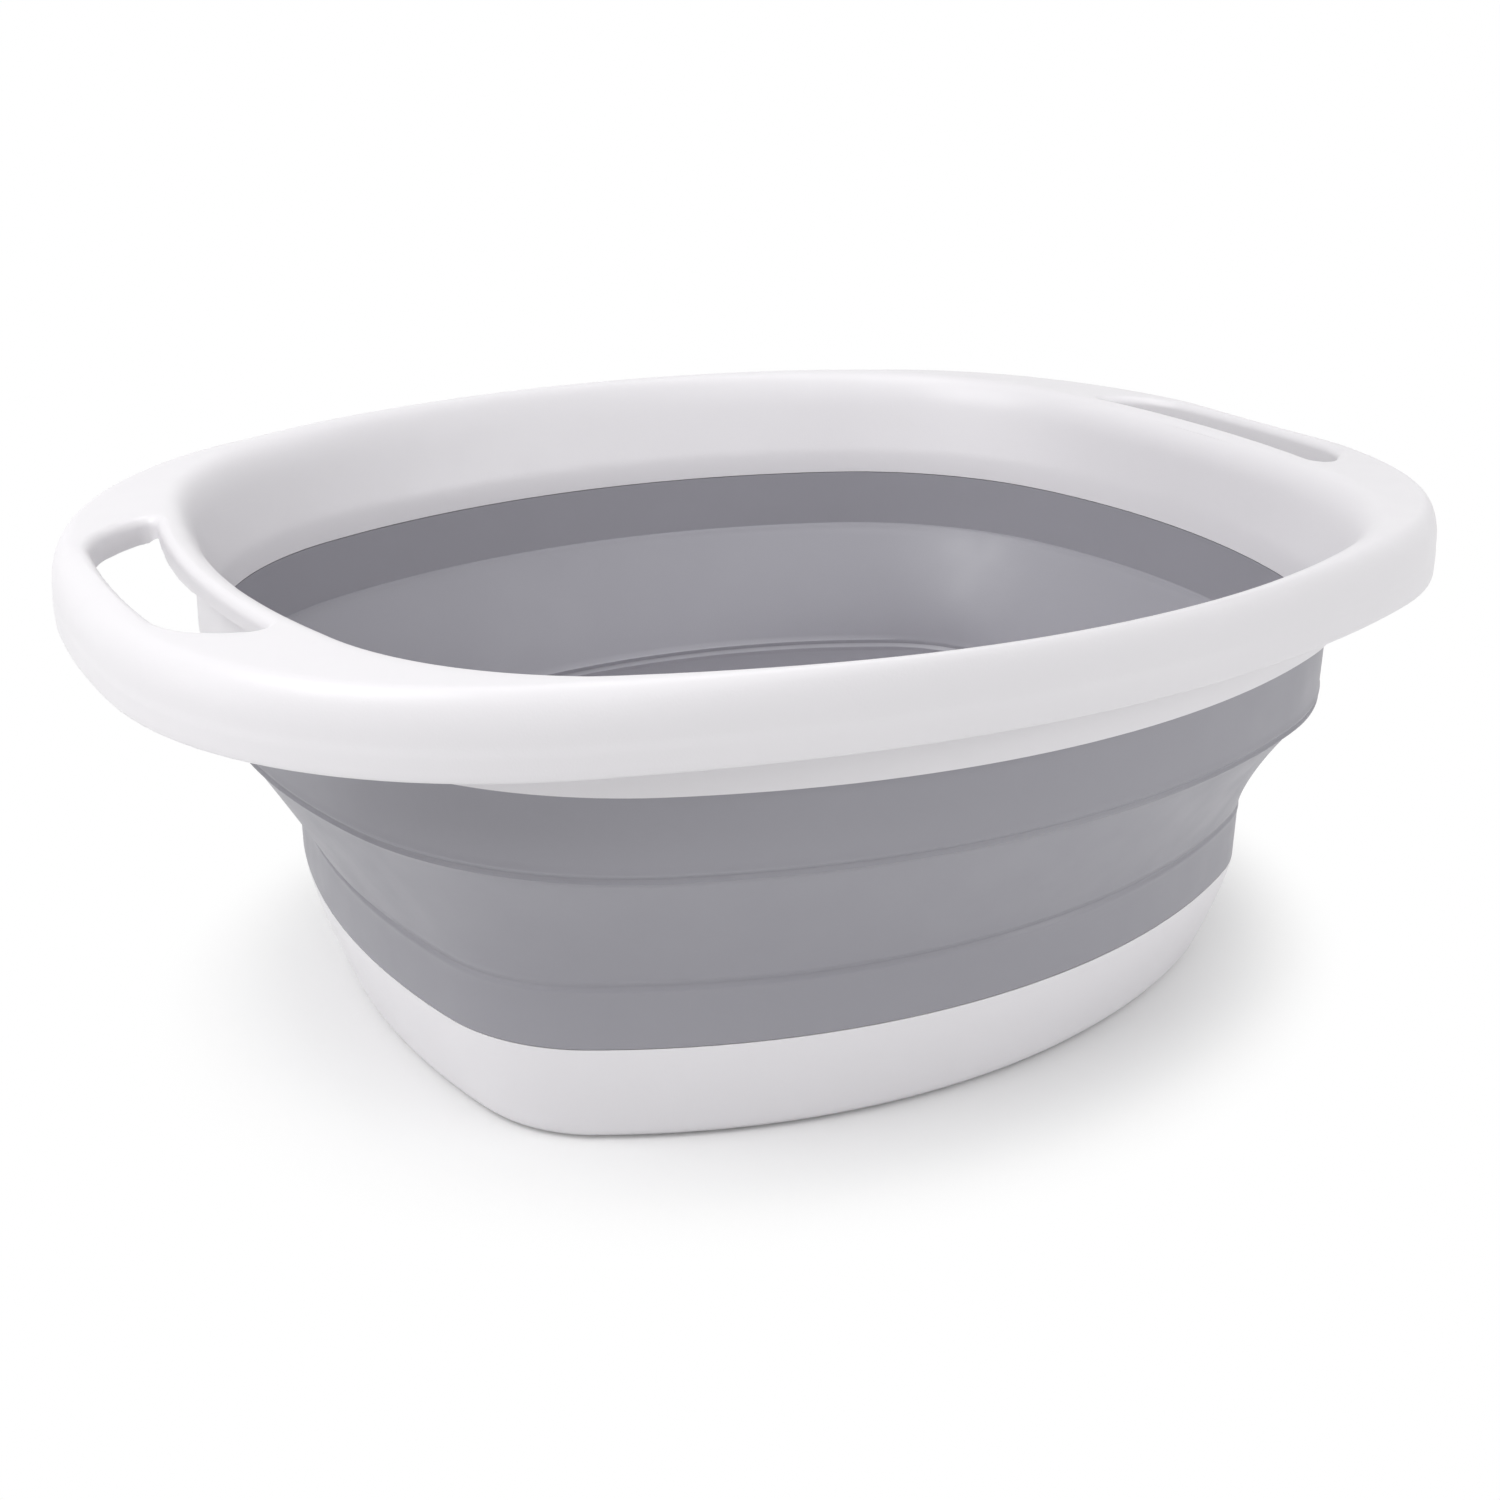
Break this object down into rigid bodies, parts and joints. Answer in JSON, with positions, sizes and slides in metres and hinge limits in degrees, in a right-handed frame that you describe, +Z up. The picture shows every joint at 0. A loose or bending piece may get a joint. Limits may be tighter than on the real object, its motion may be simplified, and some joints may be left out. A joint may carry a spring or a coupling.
{
  "type": "pet bathtub",
  "caption": "Collapsible pet bathtub: oval rim with a hand slot at each end, soft wall that folds down in bands, and a flat tray with a drain plug.",
  "frame": {"origin": "on the floor, under the middle of the tub", "axes": "+X along the tub's length, towards the drain plug's end; +Y across it; +Z up"},
  "size_m": [0.52, 0.3984, 0.1899],
  "materials": {
    "white_plastic": "satin moulded",
    "grey_soft": "smooth satin"
  },
  "bodies": {
    "base": {"base_tray": "white_plastic", "lower_wall_band": "grey_soft", "front_left_foot": "grey_soft", "front_right_foot": "grey_soft", "rear_left_foot": "grey_soft", "rear_right_foot": "grey_soft"},
    "rim": {"rim_frame": "white_plastic", "upper_wall_band": "grey_soft"},
    "middle_band": {"middle_wall_band": "grey_soft"},
    "drain_plug": {"drain_plug": "grey_soft"}
  },
  "joints": [
    {"name": "rim_collapse", "type": "slide", "parent": "base", "child": "rim", "axis": [0, 0, 1], "range_m": [-0.1056, 0]},
    {"name": "band_fold", "type": "slide", "parent": "base", "child": "middle_band", "axis": [0, 0, 1], "range_m": [-0.0528, 0]},
    {"name": "plug_pull", "type": "slide", "parent": "base", "child": "drain_plug", "axis": [0, 0, 1], "range_m": [0, 0.05]}
  ],
  "couplings": [
    {"joint": "band_fold", "follows": "rim_collapse", "ratio": 0.5}
  ]
}
